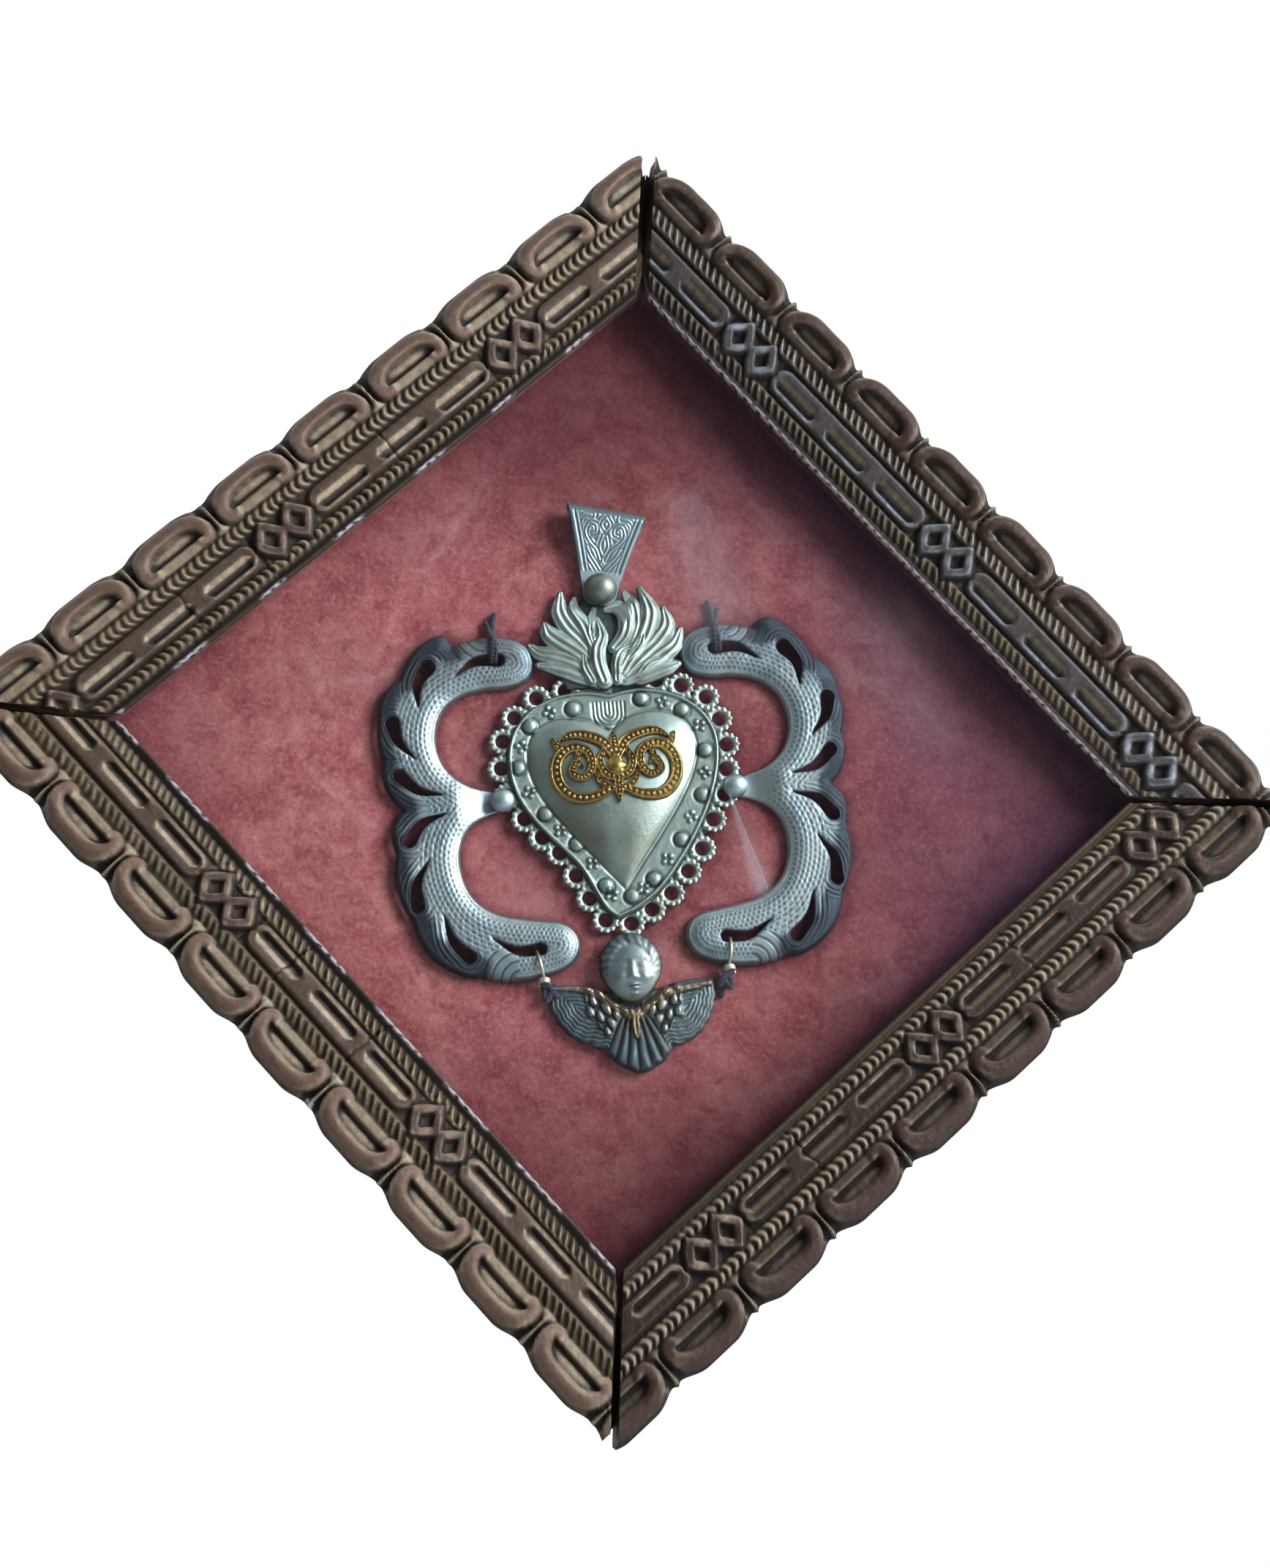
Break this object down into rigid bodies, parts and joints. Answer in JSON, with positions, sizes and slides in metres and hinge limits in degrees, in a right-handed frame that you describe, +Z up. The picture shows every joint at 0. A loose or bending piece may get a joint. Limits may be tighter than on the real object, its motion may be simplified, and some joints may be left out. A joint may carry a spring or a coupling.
{
  "type": "framed ex-voto",
  "caption": "Pierced silver votive heart with flames, wings and a cherub, tied to red cloth under glass in a carved diamond-hung shadow box.",
  "frame": {"origin": "middle of the back board's rear face, which lies against the wall", "axes": "+X to the right and +Z up as the object hangs, +Y out of its back towards the wall; its front faces -Y"},
  "size_m": [0.3978, 0.0266, 0.395],
  "materials": {
    "carved_walnut": "dark walnut, worn pale on the high spots",
    "box_wood": "plain dark stained deal",
    "board": "stiff grey-brown board",
    "velvet": "faded crimson cloth, slightly mottled",
    "glass": "thin old window glass",
    "silver": "chased sheet silver, satin, tarnished in the hollows",
    "dark_silver": "darkly tarnished cast silver",
    "gilt": "gilt, dark in the recesses",
    "steel": "dull dark steel",
    "brass": "old dull brass",
    "thread": "dark waxed thread",
    "wire": "pale soft wire"
  },
  "bodies": {
    "frame": {"carved_rail_upper_left": "carved_walnut", "box_side_upper_left": "box_wood", "corner_nail_upper_left_start": "steel", "corner_nail_upper_left_end": "steel", "back_brad_upper_left_1": "steel", "back_brad_upper_left_2": "steel", "fillet_upper_left": "velvet", "carved_rail_upper_right": "carved_walnut", "box_side_upper_right": "box_wood", "corner_nail_upper_right_start": "steel", "corner_nail_upper_right_end": "steel", "back_brad_upper_right_1": "steel", "back_brad_upper_right_2": "steel", "fillet_upper_right": "velvet", "carved_rail_lower_right": "carved_walnut", "box_side_lower_right": "box_wood", "corner_nail_lower_right_start": "steel", "corner_nail_lower_right_end": "steel", "back_brad_lower_right_1": "steel", "back_brad_lower_right_2": "steel", "fillet_lower_right": "velvet", "carved_rail_lower_left": "carved_walnut", "box_side_lower_left": "box_wood", "corner_nail_lower_left_start": "steel", "corner_nail_lower_left_end": "steel", "back_brad_lower_left_1": "steel", "back_brad_lower_left_2": "steel", "fillet_lower_left": "velvet", "glass_pane": "glass", "mount_board": "board", "red_cloth": "velvet", "back_board": "box_wood", "hanger_plate": "brass", "hanger_screw_left_1": "steel", "hanger_screw_left_2": "steel", "hanger_screw_right_1": "steel", "hanger_screw_right_2": "steel", "scroll_wing_left": "silver", "scroll_wing_right": "silver", "lace_plate": "silver", "heart_shell": "silver", "gilt_ornament": "gilt", "flames": "silver", "bail_rivet": "silver", "cherub_head": "dark_silver", "cherub_wings": "dark_silver", "thread_tie_top_left": "thread", "wire_tie_bottom_left": "wire", "side_rivet_left": "silver", "thread_tie_top_right": "thread", "wire_tie_bottom_right": "wire", "side_rivet_right": "silver"},
    "bail": {"bail": "silver"},
    "hanger_ring": {"hanger_ring": "brass"}
  },
  "joints": [
    {"name": "bail_turn", "type": "hinge", "parent": "frame", "child": "bail", "pos_m": [-0.01071, -0.0103, 0.05494], "axis": [0, 1, 0], "range_deg": [-45, 25]},
    {"name": "ring_swing", "type": "hinge", "parent": "frame", "child": "hanger_ring", "pos_m": [-0.00247, -0.0016, 0.16698], "axis": [1, 0, 0], "range_deg": [0, 178]}
  ]
}
